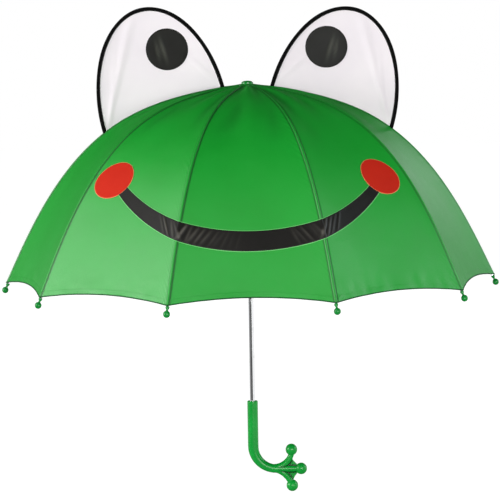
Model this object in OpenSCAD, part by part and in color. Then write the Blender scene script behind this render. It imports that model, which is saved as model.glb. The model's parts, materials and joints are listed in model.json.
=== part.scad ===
// Child's stick umbrella with an animal face, open.
// Frame: origin at the middle of the straight grip, on the shaft's axis; +Z runs up the shaft,
// -Y is the side with the face, and +X is the side that the handle's hook points to.
// A rib's azimuth is counted from -Y towards +X. The canopy joins it at its seam.

/* [Canopy frame] */
// Height of the ribs' hinges above the middle of the grip
hinge_z = 487.5; // [480:1:495]
// Radius of the circle that the ribs hinge on
hinge_r = 8; // [8:0.5:9]
// Length of a rib along its curve, from its hinge to the hem
rib_len = 472; // [460:1:480]
// Slope of a rib at its hinge, in degrees below level
slope_top = 9; // [7:0.5:12]
// Slope of a rib at the hem
slope_hem = 65; // [60:0.5:68]
// Where a rib bends most, as a share of its length
bend_at = 0.38; // [0.3:0.01:0.5]
// Width of a rib's channel
rib_w = 2.6; // [2.4:0.1:3]
// Height of a rib's channel
rib_h = 2.4; // [2.2:0.1:2.6]

/* [Stretchers] */
// Distance along a rib from its hinge to its rivet
rivet_at = 213; // [205:1:220]
// Distance of the rivet below the rib's middle line
rivet_drop = 3.2; // [3:0.1:3.6]
// Length of a stretcher between its two pivots
stretcher_len = 225; // [220:1:230]
// Radius of the runner's wire ring, which the stretchers' hooks hold
runner_ring_r = 11; // [11:0.5:12]

/* [Fabric] */
// Height of the cloth's inner face above a rib's middle line
cloth_in = 1.9; // [1.8:0.1:2.4]
// Thickness of the plain solid that stands for the cloth
cloth_t = 0.6; // [0.5:0.1:1]
// How far the hem rises between two ribs
scallop = 10; // [8:1:20]
// Gap between a cloth panel's edge and the middle of the space between two ribs
seam_gap = 0.3; // [0.3:0.1:0.6]

/* [Face] */
// Height of an eye over the chord that it is sewn along
eye_h = 144.5; // [120:0.5:150]
// How far an eye's outline leans towards the shaft
eye_lean = 12.3; // [0:0.1:14]
// Thickness of an eye's cloth
eye_t = 1.2; // [1:0.1:2]
// Radius of the wired piping round an eye
piping_r = 2.8; // [2:0.1:3.2]
// Radius of a pupil
pupil_r = 30.4; // [25:0.2:32]
// Distance of the mouth's top edge down the cloth at the middle of the face
mouth_top = 366; // [360:1:375]
// Distance of the mouth's bottom edge down the cloth at the middle of the face
mouth_bottom = 395.5; // [390:0.5:405]
// Half the width of a cheek, across the cloth
cheek_half_w = 29; // [28:1:36]
// Half the height of a cheek, down the cloth
cheek_half_h = 28.3; // [26:0.1:32]
// Azimuth of a cheek's middle
cheek_az = 44.5; // [44:0.5:46]
// Distance of a cheek's middle down the cloth
cheek_s = 295; // [285:1:300]

/* [Stick] */
// Outer radius of the shaft
shaft_r = 4; // [4:0.1:4.2]
// Thickness of the shaft's wall
shaft_wall = 0.5; // [0.4:0.05:0.6]
// Outer radius of the runner's sleeve
sleeve_r = 6; // [5.8:0.1:6.2]
// Length of the runner's sleeve below its crown
sleeve_len = 34; // [30:1:36]
// Radius of the handle's grip
grip_r = 7.75; // [7.5:0.05:8]
// Height of the grip's top end
grip_top = 31; // [28:1:32]
// Depth of the grip's bottom end, where the bend starts
grip_bottom = 35.5; // [32:0.5:38]
// Radius of the middle line of the handle's bend
bend_r = 34; // [32:1:36]
// Radius of the balls on the handle's toes
toe_ball_r = 8.5; // [8:0.1:9]
// Radius of the balls on the ribs' ends
tip_ball_r = 4.6; // [4:0.1:4.7]

/* [Hidden] */
$fn = 48;
RIBS = 10;
STEP = 360 / RIBS;
HALF = STEP / 2;
RIB_STEPS = 36;             // straight steps that a rib's curve is drawn with
WIRE_R = 0.5;               // both wire rings
RUN_GAP = 0.05;             // running clearance of a pin in its bore
RIVET_R = 0.7;
EYELET_R = 1.6;             // eye at a rib's top end
NOTCH_R = 10.2;
NOTCH_CORE = 5.9;           // inner end of the notch's slots
SLOT_W = 2.0;               // slots of the notch and the runner's crown
BLADE_T = 1.6;              // thickness of a rib's top end and of a stretcher
SHAFT_FIT = 0.02;           // a pressed or cemented part round the shaft
SLEEVE_BORE = 4.15;
CROWN_R = 13.5;
CROWN_H = 8;
CROWN_CORE = 8.6;           // inner end of the crown's slots
CLOTH_ON = cloth_in + cloth_t;
SEWN_ON = CLOTH_ON + 0.4;   // inner face of a piece sewn onto the cloth
TIP_OUT = 9;                // from a rib's end to the middle of its tip's ball
TANG_R = 1.2;               // round end of a rib, inside its tip
TANG_LEN = 6;
CATCH_OUT = 6.1;            // how far a catch spring stands out from the shaft's axis
CATCH_LEN = 26;             // from a catch to its spring's pivot
CATCH_IN = 1.6;             // distance of a spring's pivot from the shaft's axis

function two(i) = i < 10 ? str("0", i) : str(i);
function azimuth(i) = HALF + STEP * (i - 1);
function numbered(name) = [for (i = [1 : RIBS]) str(name, "_", two(i))];

// ---- A rib's curve. Its curvature grows evenly to the bend and falls evenly after it.
bend_s = bend_at * rib_len;
function bent(s) =
    s < bend_s ? s * s / bend_s / rib_len
               : 1 - pow(rib_len - s, 2) / (rib_len - bend_s) / rib_len;
function slope(s) = slope_top + (slope_hem - slope_top) * bent(max(0, min(s, rib_len)));
ds = rib_len / RIB_STEPS;
// each point is [distance along the rib, radius, height above the hinges]
curve = [for (i = 0, r = hinge_r, z = 0; i <= RIB_STEPS;
              z = z - ds * sin(slope((i + 0.5) * ds)), r = r + ds * cos(slope((i + 0.5) * ds)),
              i = i + 1) [i * ds, r, z]];
curve_r = [for (p = curve) [p[0], p[1]]];
curve_z = [for (p = curve) [p[0], p[2]]];
// point of a rib's plane at distance s along the rib and height up above its middle line
function rib_point(s, up) =
    [lookup(s, curve_r) + up * sin(slope(s)), lookup(s, curve_z) + up * cos(slope(s))];

rivet = rib_point(rivet_at, -rivet_drop);
hook_x = runner_ring_r;
hook_z = rivet[1] - sqrt(pow(stretcher_len, 2) - pow(rivet[0] - hook_x, 2));
stretcher_rise = atan2(rivet[1] - hook_z, rivet[0] - hook_x);
ring_z = hinge_z + hook_z;               // height of the runner's wire ring when open
crown_low = ring_z - CROWN_H / 2;
catch_open_z = crown_low - sleeve_len - 0.5;

// ---- The cloth. across runs from -1 to 1 over a panel, between the middles of the
// spaces beside its rib. The cloth is taut, so it runs straight between two ribs.
function half_chord(r) = r * sin(HALF);
function cloth_point(s, across, up) =
    let (p = rib_point(s, up), w = half_chord(p[0]) * abs(across))
    [p[0] - w * sin(HALF), sign(across) * w * cos(HALF), p[1]];
function panel_edge(s) = 1 - seam_gap / half_chord(rib_point(s, 0)[0]);
function hem_at(across) = rib_len - 2 - scallop * (1 - pow(1 - abs(across), 2));

// closed solid between two grids of the same size, the outer one first
module grid_solid(outer, inner) {
    rows = len(outer);
    cols = len(outer[0]);
    n = rows * cols;
    points = concat([for (row = outer) each row], [for (row = inner) each row]);
    function at(i, j) = i * cols + j;
    sheet = [for (i = [0 : rows - 2], j = [0 : cols - 2])
        each [[at(i, j), at(i + 1, j), at(i + 1, j + 1)],
              [at(i, j), at(i + 1, j + 1), at(i, j + 1)]]];
    rim = concat([for (j = [0 : cols - 1]) at(0, j)],
                 [for (i = [1 : rows - 1]) at(i, cols - 1)],
                 [for (j = [1 : cols - 1]) at(rows - 1, cols - 1 - j)],
                 [for (i = [1 : rows - 2]) at(rows - 1 - i, 0)]);
    walls = [for (k = [0 : len(rim) - 1])
        let (a = rim[k], b = rim[(k + 1) % len(rim)])
        each [[a, b, b + n], [a, b + n, a + n]]];
    back = [for (f = sheet) [f[0] + n, f[2] + n, f[1] + n]];
    polyhedron(points, concat(sheet, walls, back));
}

// tube of radius r along points of the XZ plane
module flat_tube(path, r, sides = 8) {
    n = len(path);
    function dir(i) =
        let (d = path[min(i + 1, n - 1)] - path[max(i - 1, 0)]) d / norm(d);
    points = [for (i = [0 : n - 1], k = [0 : sides - 1])
        let (d = dir(i), a = 360 * k / sides, c = r * cos(a))
        [path[i][0] - d[1] * c, r * sin(a), path[i][1] + d[0] * c]];
    skin = [for (i = [0 : n - 2], k = [0 : sides - 1])
        let (a = i * sides + k, b = i * sides + (k + 1) % sides)
        each [[a, b, b + sides], [a, b + sides, a + sides]]];
    start = [for (k = [1 : sides - 2]) [0, k + 1, k]];
    last = (n - 1) * sides;
    end = [for (k = [1 : sides - 2]) [last, last + k, last + k + 1]];
    polyhedron(points, concat(skin, start, end));
}

// ---- Placing
module at_rib(i) { rotate([0, 0, azimuth(i) - 90]) translate([0, 0, hinge_z]) children(); }
module upright(t) { rotate([90, 0, 0]) linear_extrude(t, center = true) children(); }
module cross_pin(r, length) { rotate([90, 0, 0]) cylinder(r = r, h = length, center = true); }
module at_rib_end() {
    end = rib_point(rib_len, 0);
    translate([end[0], 0, end[1]]) rotate([0, 90 + slope(rib_len), 0]) children();
}
module either_side(side) { if (side == "left") mirror([1, 0, 0]) children(); else children(); }

// strip of a rib's plane between two heights over the rib's middle line
function rib_strip(low, high, from, to, steps) =
    let (s = [for (k = [0 : steps]) from + (to - from) * k / steps])
    concat([for (k = [0 : steps]) rib_point(s[k], high)],
           [for (k = [0 : steps]) rib_point(s[steps - k], low)]);

// ---- Frame
module rib(i) {
    flat_end = 4.6;
    wall = 0.4;
    ear_t = 0.5;
    ear_r = 1.7;
    ear_y = 1.25;
    color("gainsboro") at_rib(i) difference() {
        union() {
            upright(rib_w) polygon(rib_strip(-rib_h / 2, rib_h / 2, flat_end, rib_len, RIB_STEPS));
            upright(BLADE_T) polygon(rib_strip(-rib_h / 2, rib_h / 2, 1, flat_end + 1, 2));
            translate([hinge_r, 0, 0]) cross_pin(EYELET_R, BLADE_T);
            for (side = [-1, 1]) translate([rivet[0], side * ear_y, rivet[1]])
                rotate([0, slope(rivet_at), 0]) {
                    cross_pin(ear_r, ear_t);
                    translate([0, 0, rivet_drop / 2]) cube([2 * ear_r, ear_t, rivet_drop], center = true);
                    translate([0, side * ear_t, 0]) cross_pin(1.2, ear_t);
                }
            translate([rivet[0], 0, rivet[1]]) cross_pin(RIVET_R, 2 * ear_y + ear_t);
            at_rib_end() translate([0, 0, -4]) cylinder(r = TANG_R, h = 4 + TANG_LEN);
        }
        upright(rib_w - 2 * wall)
            polygon(rib_strip(-rib_h, rib_h / 2 - wall, flat_end + 2, rib_len - 12, RIB_STEPS));
        translate([hinge_r, 0, 0]) cross_pin(WIRE_R + 2 * RUN_GAP, 2 * BLADE_T);
        // room for the stretcher's eye between the ears
        translate([rivet[0], 0, rivet[1]]) difference() {
            cross_pin(2.1, 2 * (ear_y - ear_t / 2));
            cross_pin(RIVET_R, 2 * rib_w);
        }
    }
}

// a ball with a short neck, pushed on the rib's end
module tip(i) {
    lap = 1.5;              // the neck's reach over the rib's channel
    neck_r = 2.6;
    channel_room_r = 1.85;
    room = 0.4;
    color("green") at_rib(i) at_rib_end() difference() {
        union() {
            translate([0, 0, TIP_OUT]) sphere(tip_ball_r);
            translate([0, 0, -lap]) cylinder(r = neck_r, h = lap + TIP_OUT);
        }
        translate([0, 0, -lap - 1]) cylinder(r = channel_room_r, h = lap + 1 + room);
        cylinder(r = TANG_R + SHAFT_FIT, h = TANG_LEN + room);
    }
}

module stretcher(i) {
    bar_h = 2.4;
    eye_r = 1.8;
    hook_r = 1.9;
    hook_bore = WIRE_R + 0.3;
    open_from = 58;         // the hook's mouth, in degrees above level
    open_to = 103;
    function aim(a, r) = [r * cos(a), r * sin(a)];
    color("silver") at_rib(i) difference() {
        union() {
            translate([hook_x, 0, hook_z]) rotate([0, -stretcher_rise, 0])
                translate([stretcher_len / 2, 0, 0]) cube([stretcher_len, BLADE_T, bar_h], center = true);
            translate([rivet[0], 0, rivet[1]]) cross_pin(eye_r, BLADE_T);
            translate([hook_x, 0, hook_z]) cross_pin(hook_r, BLADE_T);
        }
        translate([rivet[0], 0, rivet[1]]) cross_pin(RIVET_R + RUN_GAP, 2 * BLADE_T);
        translate([hook_x, 0, hook_z]) {
            cross_pin(hook_bore, 2 * BLADE_T);
            upright(2 * BLADE_T) polygon([
                aim(open_from - 90, hook_bore), aim(open_from - 90, hook_bore) + aim(open_from, 5),
                aim(open_to + 90, hook_bore) + aim(open_to, 5), aim(open_to + 90, hook_bore)]);
        }
    }
}

module slots(inner, outer, height) {
    for (i = [1 : RIBS]) rotate([0, 0, azimuth(i) - 90])
        translate([inner, -SLOT_W / 2, -height / 2]) cube([outer - inner + 1, SLOT_W, height]);
}

// groove for a wire ring, open outwards
module wire_groove(ring_r, outer) {
    side = WIRE_R + 0.05;
    rotate_extrude() translate([ring_r - side, -side]) square([outer - ring_r + side + 1, 2 * side]);
}

module wire_ring(ring_r) { rotate_extrude() translate([ring_r, 0]) circle(WIRE_R, $fn = 24); }

module top_notch() {
    top = 0.8;
    bottom = -6;
    color("silver") translate([0, 0, hinge_z]) difference() {
        union() {
            translate([0, 0, -3.6]) cylinder(r = NOTCH_R, h = 3.6 + top);
            translate([0, 0, bottom]) cylinder(r = NOTCH_CORE, h = top - bottom);
        }
        translate([0, 0, bottom - 1]) cylinder(r = shaft_r + SHAFT_FIT, h = top - bottom + 2);
        slots(NOTCH_CORE, NOTCH_R, 12);
        wire_groove(hinge_r, NOTCH_R);
    }
}

module notch_wire() { color("dimgray") translate([0, 0, hinge_z]) wire_ring(hinge_r); }

module runner_wire() { color("dimgray") translate([0, 0, ring_z]) wire_ring(runner_ring_r); }

module runner() {
    spring_slit = 1.8;
    slit_reach = 6.6;
    color("ghostwhite") translate([0, 0, ring_z]) difference() {
        union() {
            translate([0, 0, -CROWN_H / 2]) cylinder(r = CROWN_R, h = CROWN_H);
            translate([0, 0, -CROWN_H / 2 - sleeve_len]) cylinder(r = sleeve_r, h = sleeve_len + 1);
            translate([0, 0, -CROWN_H / 2 - sleeve_len]) cylinder(r = sleeve_r + 1.4, h = 3);
        }
        translate([0, 0, -60]) cylinder(r = SLEEVE_BORE, h = 80);
        slots(CROWN_CORE, CROWN_R, 2 * CROWN_H);
        wire_groove(runner_ring_r, CROWN_R);
        translate([-spring_slit / 2, 0, -60]) cube([spring_slit, slit_reach, 80]);
        translate([-spring_slit / 2, 0, -60])
            cube([spring_slit, CROWN_R + 1, 60 - CROWN_H / 2 - sleeve_len + 3]);
    }
}

module shaft() {
    bottom = -22;
    top = hinge_z + 5;
    slot_w = 1.6;
    slot_len = 12;
    stop_z = ring_z + CROWN_H / 2 + 0.6;
    color("gainsboro") difference() {
        union() {
            difference() {
                union() {
                    translate([0, 0, bottom]) cylinder(r = shaft_r, h = top - bottom);
                    // crimped ring that stops the runner
                    translate([0, 0, stop_z]) cylinder(r = shaft_r + 0.7, h = 1.5);
                }
                translate([0, 0, bottom - 1]) cylinder(r = shaft_r - shaft_wall, h = top - bottom + 2);
            }
            // the catch springs' pins
            for (z = [catch_open_z - CATCH_LEN, catch_shut_z() + CATCH_LEN])
                translate([0, CATCH_IN, z]) rotate([0, 0, 90]) cross_pin(0.6, 2 * (shaft_r - 0.6));
        }
        translate([-slot_w / 2, 0, catch_open_z - slot_len + 1]) cube([slot_w, 6, slot_len]);
        translate([-slot_w / 2, 0, catch_shut_z() - 1]) cube([slot_w, 6, slot_len]);
    }
}

// ---- Where the runner is when the umbrella is shut. The ribs turn until the tips' balls
// all but meet round the shaft.
tips_shut_r = 16;
tip_ball = rib_point(rib_len, 0) + TIP_OUT * [cos(slope_hem), -sin(slope_hem)];
tip_reach = norm(tip_ball - [hinge_r, 0]);
fold_angle = acos((tips_shut_r - hinge_r) / tip_reach) + atan2(tip_ball[1], tip_ball[0] - hinge_r);
function folded(p, a) =
    let (x = p[0] - hinge_r) [hinge_r + x * cos(a) + p[1] * sin(a), p[1] * cos(a) - x * sin(a)];
rivet_shut = folded(rivet, fold_angle);
ring_shut_z = hinge_z + rivet_shut[1] - sqrt(pow(stretcher_len, 2) - pow(rivet_shut[0] - hook_x, 2));
function catch_shut_z() = ring_shut_z + CROWN_H / 2 + 0.5;

// catch spring with its flat end at height 0 and its pivot below
module catch_spring() {
    blade_t = 1;
    color("lightsteelblue") rotate([0, 0, 90]) difference() {
        union() {
            upright(blade_t) polygon([
                [1.0, -CATCH_LEN], [2.2, -CATCH_LEN], [2.8, -9], [CATCH_OUT, -1.4], [CATCH_OUT, 0],
                [2.0, 0], [1.0, -8]]);
            translate([CATCH_IN, 0, -CATCH_LEN]) cross_pin(1.3, blade_t);
        }
        translate([CATCH_IN, 0, -CATCH_LEN]) cross_pin(0.65, 2 * blade_t);
    }
}

module top_spring() { translate([0, 0, catch_open_z]) catch_spring(); }

module bottom_spring() { translate([0, 0, catch_shut_z()]) mirror([0, 0, 1]) catch_spring(); }

module top_cap() {
    low = CLOTH_ON + 0.4;
    r = 8.5;
    rim = 1.4;
    dome = 2.6;
    color("green") translate([0, 0, hinge_z]) difference() {
        rotate_extrude() polygon(concat(
            [[0, low]], [[r, low], [r, low + rim]],
            [for (a = [10 : 10 : 90]) [r * cos(a), low + rim + dome * sin(a)]]));
        translate([0, 0, -1]) cylinder(r = shaft_r + SHAFT_FIT, h = 6.1);
    }
}

// ---- Handle: a grip whose bend ends in a foot of three round toes
module handle() {
    palm = [bend_r, -grip_bottom - bend_r];
    toes = [[55.4, -41.6], [69.3, -69.8], [56.1, -94.4]];
    palm_r = 6.4;
    toe_r = 4.3;
    web_t = 5;
    hook_mid = [29, -40.5]; // the upper toe carries the bend on, round this point
    hook_mid_r = 27.3;
    hook_from = -95;
    hook_turn = 88;
    color("limegreen") difference() {
        union() {
            translate([0, 0, -grip_bottom]) cylinder(r = grip_r, h = grip_bottom + grip_top - 1.5);
            translate([0, 0, grip_top - 1.5]) cylinder(r1 = grip_r, r2 = grip_r - 1.2, h = 1.5);
            translate([bend_r, 0, -grip_bottom]) rotate([-90, 0, 0])
                rotate([0, 0, 90]) rotate_extrude(angle = 90) translate([bend_r, 0]) circle(grip_r);
            translate([palm[0], 0, palm[1]]) sphere(grip_r);
            translate([palm[0], 0, palm[1]]) rotate([0, 90, 0]) cylinder(r1 = grip_r, r2 = palm_r, h = 7);
            translate([hook_mid[0], 0, hook_mid[1]]) rotate([90, 0, 0]) rotate([0, 0, hook_from])
                rotate_extrude(angle = hook_turn) translate([hook_mid_r, 0]) circle(toe_r);
            for (t = [toes[1], toes[2]]) {
                d = t - palm;
                translate([palm[0], 0, palm[1]]) rotate([0, 90 - atan2(d[1], d[0]), 0])
                    cylinder(r = toe_r, h = norm(d));
            }
            for (t = toes) translate([t[0], 0, t[1]]) sphere(toe_ball_r);
            upright(web_t) polygon([palm + [-2, 4], palm + [9, 14], palm + [21, 1], palm + [9, -13],
                                    palm + [-2, -4]]);
        }
        translate([0, 0, -22.5]) cylinder(r = shaft_r + SHAFT_FIT, h = 80);
    }
}

// ---- Cloth and what is sewn to it
module canopy(i) {
    rows = 18;
    cols = 3;               // on each side of the rib
    function sheet(up) = [for (k = [0 : rows]) [for (j = [-cols : cols])
        let (s = hem_at(j / cols) * k / rows)
        cloth_point(s, j / cols * panel_edge(s), up)]];
    color("mediumseagreen") at_rib(i) grid_solid(sheet(CLOTH_ON), sheet(cloth_in));
}

// the mouth's edges fall away from the middle of the face as the square of the azimuth
module mouth(side) {
    cols = 10;
    function edge(middle, fall, az) = middle - fall * az * az;
    function sheet(up) = [for (k = [0 : 2]) [for (j = [0 : cols])
        let (across = -1 + 2 * j / cols, az = HALF * (1 + across),
             s = edge(mouth_top, 0.0435, az) * (1 - k / 2) + edge(mouth_bottom, 0.0465, az) * k / 2)
        cloth_point(s, across * panel_edge(s), up)]];
    color("black") either_side(side) at_rib(1)
        grid_solid(sheet(SEWN_ON + cloth_t), sheet(SEWN_ON));
}

module cheek(side) {
    rings = 3;
    spokes = 24;
    low = 0.04;             // the middle is a very small ring
    half = half_chord(rib_point(cheek_s, 0)[0]);
    mid = (cheek_az - azimuth(2)) / HALF;
    function sheet(up) = [for (k = [0 : rings]) [for (j = [0 : spokes - 1])
        let (f = low + (1 - low) * k / rings, a = 360 * j / spokes)
        cloth_point(cheek_s + f * cheek_half_h * cos(a), mid + f * cheek_half_w / half * sin(a), up)]];
    outer = sheet(SEWN_ON + cloth_t);
    inner = sheet(SEWN_ON);
    points = concat([for (row = outer) each row], [for (row = inner) each row]);
    n = (rings + 1) * spokes;
    function at(k, j) = k * spokes + j % spokes;
    sheet_faces = [for (k = [0 : rings - 1], j = [0 : spokes - 1])
        each [[at(k, j), at(k + 1, j), at(k + 1, j + 1)], [at(k, j), at(k + 1, j + 1), at(k, j + 1)]]];
    middle = [for (j = [1 : spokes - 2]) [0, j, j + 1]];
    top = concat(sheet_faces, middle);
    rim = [for (j = [0 : spokes - 1]) let (a = at(rings, j), b = at(rings, j + 1))
        each [[a, a + n, b + n], [a, b + n, b]]];
    color("firebrick") either_side(side) at_rib(2)
        polyhedron(points, concat(top, rim, [for (f = top) [f[0] + n, f[2] + n, f[1] + n]]));
}

// an eye's outline over the chord that it is sewn along, at angle a from the shaft's side
eye_in = rib_point(27.5, CLOTH_ON + 0.5);
eye_out = rib_point(209, CLOTH_ON + 0.5);
eye_chord = norm(eye_out - eye_in);
eye_dir = (eye_out - eye_in) / eye_chord;
function eye_arc(a, inset) =
    let (along = eye_chord / 2 - (eye_chord / 2 - inset) * cos(a) - eye_lean * sin(a),
         up = (eye_h - inset) * sin(a))
    eye_in + along * eye_dir + up * [-eye_dir[1], eye_dir[0]];

module eye(side) {
    steps = 30;
    color("white") either_side(side) at_rib(3) upright(eye_t) polygon(concat(
        [for (k = [0 : steps]) eye_arc(4 + (173 - 4) * k / steps, piping_r + 0.3)],
        [for (k = [0 : 16]) rib_point(205 - (205 - 32) * k / 16, SEWN_ON)]));
}

module eye_piping(side) {
    steps = 36;
    color("black") either_side(side) at_rib(3)
        flat_tube([for (k = [0 : steps]) eye_arc(1.5 + 176 * k / steps, 0)], piping_r);
}

module pupil(side) {
    color("black") either_side(side) translate([114.1, -eye_t / 2 - 0.1, hinge_z + CLOTH_ON + 51])
        rotate([90, 0, 0]) cylinder(r = pupil_r, h = 0.8);
}

// strap that ties the folded canopy, sewn to a seam at the back
module tie_strap() {
    strap_w = 12;
    color("green") at_rib(5) {
        upright(strap_w) polygon(rib_strip(SEWN_ON, SEWN_ON + 0.8, 320, rib_len - 16, 14));
        snap = rib_point(330, SEWN_ON + 0.8);
        translate([snap[0], 0, snap[1]]) rotate([0, slope(330), 0]) cylinder(r = 4.5, h = 1.6);
    }
}

for (i = [1 : RIBS]) {
    rib(i);
    tip(i);
    stretcher(i);
    canopy(i);
}
shaft();
handle();
top_notch();
notch_wire();
top_cap();
runner();
runner_wire();
top_spring();
bottom_spring();
tie_strap();
for (side = ["right", "left"]) {
    eye(side);
    eye_piping(side);
    pupil(side);
    mouth(side);
    cheek(side);
}
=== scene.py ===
"""Looks of a child's stick umbrella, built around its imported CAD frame.

Every place comes from the frame or from the same driving sizes as the CAD source. Lengths are in metres.
A rib's azimuth is counted from -Y, the side with the face, towards +X.
"""
import json
import math

import bmesh
import bpy
import numpy as np
from mathutils import Matrix, Vector

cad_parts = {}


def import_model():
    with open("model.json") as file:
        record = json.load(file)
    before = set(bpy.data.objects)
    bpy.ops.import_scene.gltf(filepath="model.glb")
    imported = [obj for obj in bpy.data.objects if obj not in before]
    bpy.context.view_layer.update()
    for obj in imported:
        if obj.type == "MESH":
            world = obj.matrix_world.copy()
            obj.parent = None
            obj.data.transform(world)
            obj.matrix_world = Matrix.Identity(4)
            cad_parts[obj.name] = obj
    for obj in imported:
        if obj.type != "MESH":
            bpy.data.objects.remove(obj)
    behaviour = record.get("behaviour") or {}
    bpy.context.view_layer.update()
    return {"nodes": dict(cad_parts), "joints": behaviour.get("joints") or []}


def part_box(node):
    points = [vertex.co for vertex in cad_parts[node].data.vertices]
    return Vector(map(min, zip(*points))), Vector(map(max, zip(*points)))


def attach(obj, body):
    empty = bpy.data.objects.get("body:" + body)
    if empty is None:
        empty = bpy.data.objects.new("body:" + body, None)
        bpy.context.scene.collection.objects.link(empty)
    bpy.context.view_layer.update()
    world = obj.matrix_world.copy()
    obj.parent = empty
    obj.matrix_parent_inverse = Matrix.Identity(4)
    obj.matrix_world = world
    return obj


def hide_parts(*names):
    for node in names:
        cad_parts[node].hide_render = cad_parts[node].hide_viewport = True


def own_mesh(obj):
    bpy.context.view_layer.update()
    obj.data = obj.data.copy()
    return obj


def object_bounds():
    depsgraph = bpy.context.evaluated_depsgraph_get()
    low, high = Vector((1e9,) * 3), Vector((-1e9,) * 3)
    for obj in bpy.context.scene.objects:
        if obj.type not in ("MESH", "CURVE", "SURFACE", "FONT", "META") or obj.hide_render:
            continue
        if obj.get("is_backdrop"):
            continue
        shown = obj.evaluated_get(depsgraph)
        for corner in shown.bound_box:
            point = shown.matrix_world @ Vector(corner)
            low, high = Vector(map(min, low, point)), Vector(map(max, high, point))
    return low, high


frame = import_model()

MM = 0.001
JOINTS = {j["name"]: j for j in frame["joints"]}
RIBS = 10
HALF = math.pi / RIBS                      # half the angle between two ribs
HINGE = JOINTS["canopy_fold"]["pos_m"]
HINGE_R = math.hypot(HINGE[0], HINGE[1])
HINGE_Z = HINGE[2]

# ---- The ribs' curve, as in the CAD source
RIB_LEN = 472 * MM
SLOPE_TOP = math.radians(9)
SLOPE_HEM = math.radians(65)
BEND_S = 0.38 * RIB_LEN
SCALLOP = 10 * MM
CLOTH_UP = 2.5 * MM                        # outer face of the cloth over a rib's middle line
CLOTH_T = 0.35 * MM
TIP_OUT = 9 * MM
TIP_BALL_R = 4.6 * MM

# ---- The face
EYE_H = {"left": 144.5 * MM, "right": 142 * MM}
EYE_LEAN = {"left": 13.0 * MM, "right": 9.5 * MM}
EYE_ENDS = (27.5 * MM, 209 * MM)           # where an eye's edge meets the seam, along the rib
MOUTH = ((366.5 * MM, 0.0410 * MM), (396.5 * MM, 0.0470 * MM))   # top and bottom edge: place, fall
MOUTH_END = 43                             # azimuth of a mouth's end, in degrees
CHEEK = (291 * MM, 28.3 * MM, 29.6 * MM)   # place down the cloth, half width, half height
CHEEK_AZIMUTH = {"left": -45.8, "right": 44.3}
PUPIL_R = 30.4 * MM


def smoothstep(low, high, x):
    t = np.clip((x - low) / (high - low), 0, 1)
    return t * t * (3 - 2 * t)


def bump_at(x, middle, width):
    return np.exp(-(((x - middle) / width) ** 2))


class Waves:
    """Smooth repeatable noise of a point, made of sine waves in many directions."""

    def __init__(self, seed, length, count=14):
        draw = np.random.RandomState(seed)
        way = draw.normal(size=(count, 3))
        way /= np.linalg.norm(way, axis=1)[:, None]
        self.k = way * (2 * math.pi / length) * draw.uniform(0.6, 1.5, (count, 1))
        self.phase = draw.uniform(0, 2 * math.pi, count)

    def __call__(self, points):
        return np.sin(points @ self.k.T + self.phase).mean(-1) * 2.2


# ---- Curves of a rib's plane
def _table():
    s = np.linspace(0, RIB_LEN, 4001)
    bent = np.where(s < BEND_S, s * s / BEND_S / RIB_LEN,
                    1 - (RIB_LEN - s) ** 2 / (RIB_LEN - BEND_S) / RIB_LEN)
    slope = SLOPE_TOP + (SLOPE_HEM - SLOPE_TOP) * bent
    middle = (slope[1:] + slope[:-1]) / 2
    step = np.diff(s)
    r = HINGE_R + np.concatenate([[0], np.cumsum(np.cos(middle) * step)])
    z = HINGE_Z - np.concatenate([[0], np.cumsum(np.sin(middle) * step)])
    return s, slope, r, z


S_TABLE, SLOPE_TABLE, R_TABLE, Z_TABLE = _table()


def rib_point(s, up):
    """Radius and height of a point of a rib's plane, at s along the rib and up over its middle line."""
    slope = np.interp(s, S_TABLE, SLOPE_TABLE)
    over = np.maximum(s - RIB_LEN, 0)
    r = np.interp(s, S_TABLE, R_TABLE) + over * np.cos(slope)
    z = np.interp(s, S_TABLE, Z_TABLE) - over * np.sin(slope)
    return r + up * np.sin(slope), z + up * np.cos(slope)


def fold_joint(i):
    return "canopy_fold" if i == 1 else f"rib_{i:02d}_fold"


def azimuth(i):
    """Azimuth of rib i, from its joint's axis in the frame."""
    axis = JOINTS[fold_joint(i)]["axis"]
    return math.atan2(axis[1], axis[0])


def half_chord(s):
    return rib_point(s, 0)[0] * math.sin(HALF)


def hem_at(across):
    return RIB_LEN - 2 * MM - SCALLOP * (1 - (1 - np.abs(across)) ** 2)


# ---- The cloth's surface
SAG = 4.5 * MM
SEAM_HALF = 1.2 * MM
SEAM_LINE = 2.6 * MM                       # stitched side of a seam, towards the next rib
big_waves = Waves(3, 0.16)
small_waves = Waves(5, 0.028)


def plain_cloth(i, s, across, up):
    """The cloth without its seams and folds. It runs nearly straight between two ribs."""
    r, z = rib_point(s, up)
    w = r * math.sin(HALF) * np.abs(across)
    side = np.sign(across)
    slope = np.interp(s, S_TABLE, SLOPE_TABLE)
    sag = SAG * smoothstep(0.02, 0.25, s) * (1 - 0.45 * smoothstep(0.33, 0.47, s))
    sag = sag * (1 - (1 - np.abs(across)) ** 2)
    out = r - w * math.sin(HALF) - sag * math.cos(HALF) * np.sin(slope)
    along = side * (w * math.cos(HALF) - sag * math.sin(HALF) * np.sin(slope))
    z = z - sag * np.cos(slope)
    a = azimuth(i)
    return np.stack([out * math.sin(a) + along * math.cos(a),
                     -out * math.cos(a) + along * math.sin(a), z], -1)


def radial_folds(points, s):
    """Shallow folds that run out from the top cap. Each wave fits round it a whole number of times."""
    a = np.arctan2(points[..., 0], -points[..., 1])
    folds = np.sin(10 * a + 1.2) + 0.8 * np.sin(17 * a + 4 * s / 0.1) + 0.6 * np.sin(23 * a + 0.7)
    return 1.15 * MM * folds * smoothstep(0.005, 0.05, s) * (1 - smoothstep(0.11, 0.26, s))


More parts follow.
